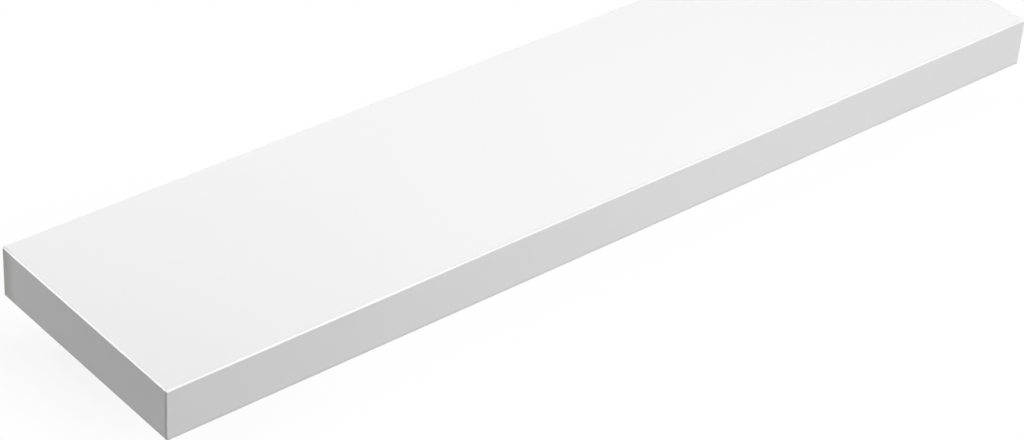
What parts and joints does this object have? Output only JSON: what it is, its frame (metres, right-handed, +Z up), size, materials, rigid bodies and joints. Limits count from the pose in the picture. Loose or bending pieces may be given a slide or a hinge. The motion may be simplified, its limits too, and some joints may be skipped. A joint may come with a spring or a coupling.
{
  "type": "floating wall shelf",
  "caption": "Straight white floating wall shelf: a hollow-core board that slides over a concealed steel bracket with three rods and is locked from below.",
  "frame": {"origin": "middle of the wall bracket's back face, on the wall plane", "axes": "+X along the shelf, to the right seen from the room; +Y into the wall; +Z up"},
  "size_m": [1, 0.24, 0.05],
  "materials": {
    "panel_lacquer": "smooth white lacquer on thin fibreboard, matt",
    "edge_band": "white edging strip with eased long edges, satin",
    "particleboard": "raw particleboard",
    "paper_core": "brown kraft paper honeycomb",
    "coated_steel": "grey powder coat on the welded steel bracket, rubbed along the rods",
    "zinc_plate": "zinc-plated steel",
    "black_oxide": "black oxide steel"
  },
  "bodies": {
    "wall_bracket": {"wall_rail": "coated_steel", "support_rod_left": "coated_steel", "support_rod_centre": "coated_steel", "support_rod_right": "coated_steel"},
    "shelf_board": {"top_panel": "panel_lacquer", "bottom_panel": "panel_lacquer", "front_batten": "particleboard", "rear_batten": "particleboard", "left_end_batten": "particleboard", "right_end_batten": "particleboard", "rod_block_left": "particleboard", "rod_block_centre": "particleboard", "rod_block_right": "particleboard", "honeycomb_left_end": "paper_core", "honeycomb_left": "paper_core", "honeycomb_right": "paper_core", "honeycomb_right_end": "paper_core", "staple_front_left_top": "zinc_plate", "staple_front_left_bottom": "zinc_plate", "staple_rear_left_top": "zinc_plate", "staple_rear_left_bottom": "zinc_plate", "staple_front_right_top": "zinc_plate", "staple_front_right_bottom": "zinc_plate", "staple_rear_right_top": "zinc_plate", "staple_rear_right_bottom": "zinc_plate", "front_band": "edge_band", "left_end_band": "edge_band", "right_end_band": "edge_band", "lock_insert_left": "zinc_plate", "lock_insert_right": "zinc_plate"},
    "lock_screw_left": {"lock_screw_left": "black_oxide"},
    "lock_screw_right": {"lock_screw_right": "black_oxide"}
  },
  "joints": [
    {"name": "shelf_slide", "type": "slide", "parent": "wall_bracket", "child": "shelf_board", "axis": [0, -1, 0], "range_m": [0, 0.19]},
    {"name": "lock_screw_left_travel", "type": "slide", "parent": "shelf_board", "child": "lock_screw_left", "axis": [0, 0, -1], "range_m": [0, 0.002]},
    {"name": "lock_screw_right_travel", "type": "slide", "parent": "shelf_board", "child": "lock_screw_right", "axis": [0, 0, -1], "range_m": [0, 0.002]}
  ]
}
